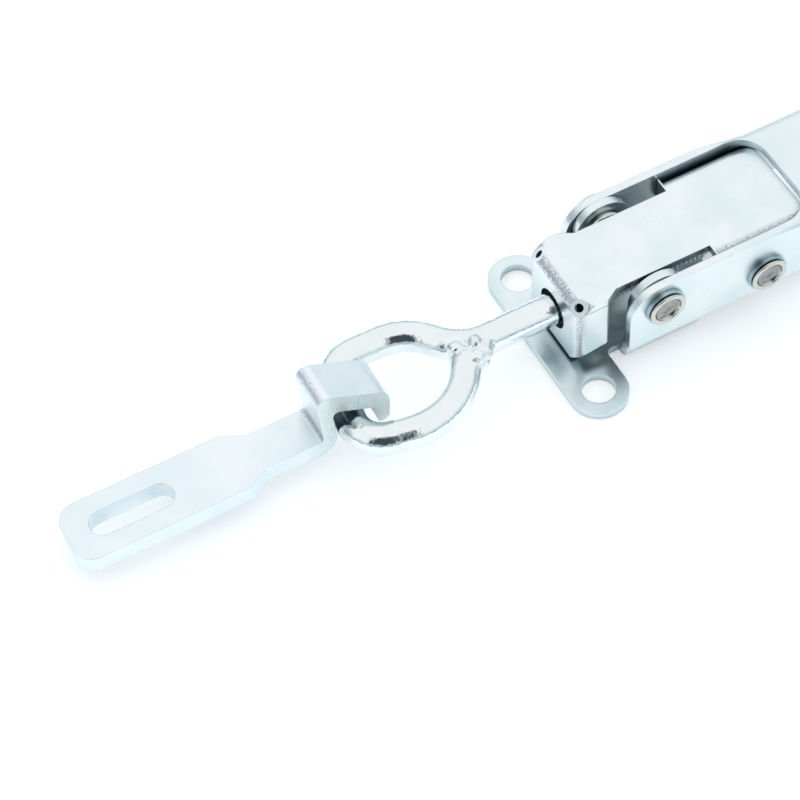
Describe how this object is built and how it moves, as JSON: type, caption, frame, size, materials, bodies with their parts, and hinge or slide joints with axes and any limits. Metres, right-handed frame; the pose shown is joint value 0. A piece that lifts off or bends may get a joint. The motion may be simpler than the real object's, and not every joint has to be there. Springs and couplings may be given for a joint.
{
  "type": "over centre toggle latch",
  "caption": "Plated steel over centre toggle latch: an eared base, a channel lever, a folded carrier with an adjustable eye bolt, and a slotted hook keeper.",
  "frame": {"origin": "on the base's underside, midway between the two ear holes", "axes": "+X from the keeper towards the handle, +Z away from the panel the base is fixed to, +Y to the left seen from the keeper"},
  "size_m": [0.3218, 0.0636, 0.0311],
  "materials": {
    "plated_sheet": "bright zinc plating over pressed and folded steel sheet, pale blue-white, softly reflecting",
    "plated_bar": "bright zinc plating over bent steel bar, shinier than the sheet",
    "rivet_steel": "plated rivet, its rolled lip burnished to a warmer grey"
  },
  "bodies": {
    "base": {"base": "plated_sheet", "pivot_rivet_right": "rivet_steel", "pivot_rivet_left": "rivet_steel", "pivot_washer_right": "plated_bar", "pivot_washer_left": "plated_bar"},
    "lever": {"lever": "plated_sheet", "draw_rivet_right": "rivet_steel", "draw_rivet_left": "rivet_steel", "draw_washer_right": "plated_bar", "draw_washer_left": "plated_bar"},
    "carrier": {"carrier": "plated_sheet"},
    "adjusting_nut": {"adjusting_nut": "plated_bar"},
    "eye_bolt": {"eye_bolt": "plated_bar"},
    "keeper": {"keeper": "plated_bar"}
  },
  "joints": [
    {"name": "lever_hinge", "type": "hinge", "parent": "base", "child": "lever", "pos_m": [0.0232, 0, 0.0222], "axis": [0, -1, 0], "range_deg": [0, 100]},
    {"name": "carrier_hinge", "type": "hinge", "parent": "lever", "child": "carrier", "pos_m": [0.0574, 0, 0.0159], "axis": [0, -1, 0], "range_deg": [-80.5, 0]},
    {"name": "nut_turn", "type": "hinge", "parent": "carrier", "child": "adjusting_nut", "pos_m": [0, 0, 0.0152], "axis": [1, 0, 0], "range_deg": [0, 5762]},
    {"name": "bolt_slide", "type": "slide", "parent": "carrier", "child": "eye_bolt", "axis": [1, 0, 0], "range_m": [-0.024, 0]},
    {"name": "keeper_swing", "type": "hinge", "parent": "eye_bolt", "child": "keeper", "pos_m": [-0.0687, 0, 0.0135], "axis": [0, -1, 0], "range_deg": [-20.5, 0]}
  ],
  "couplings": [
    {"joint": "carrier_hinge", "follows": "lever_hinge", "ratio": -0.8},
    {"joint": "keeper_swing", "follows": "lever_hinge", "ratio": -0.2},
    {"joint": "nut_turn", "follows": "bolt_slide", "rad_per_m": -4188.8}
  ]
}
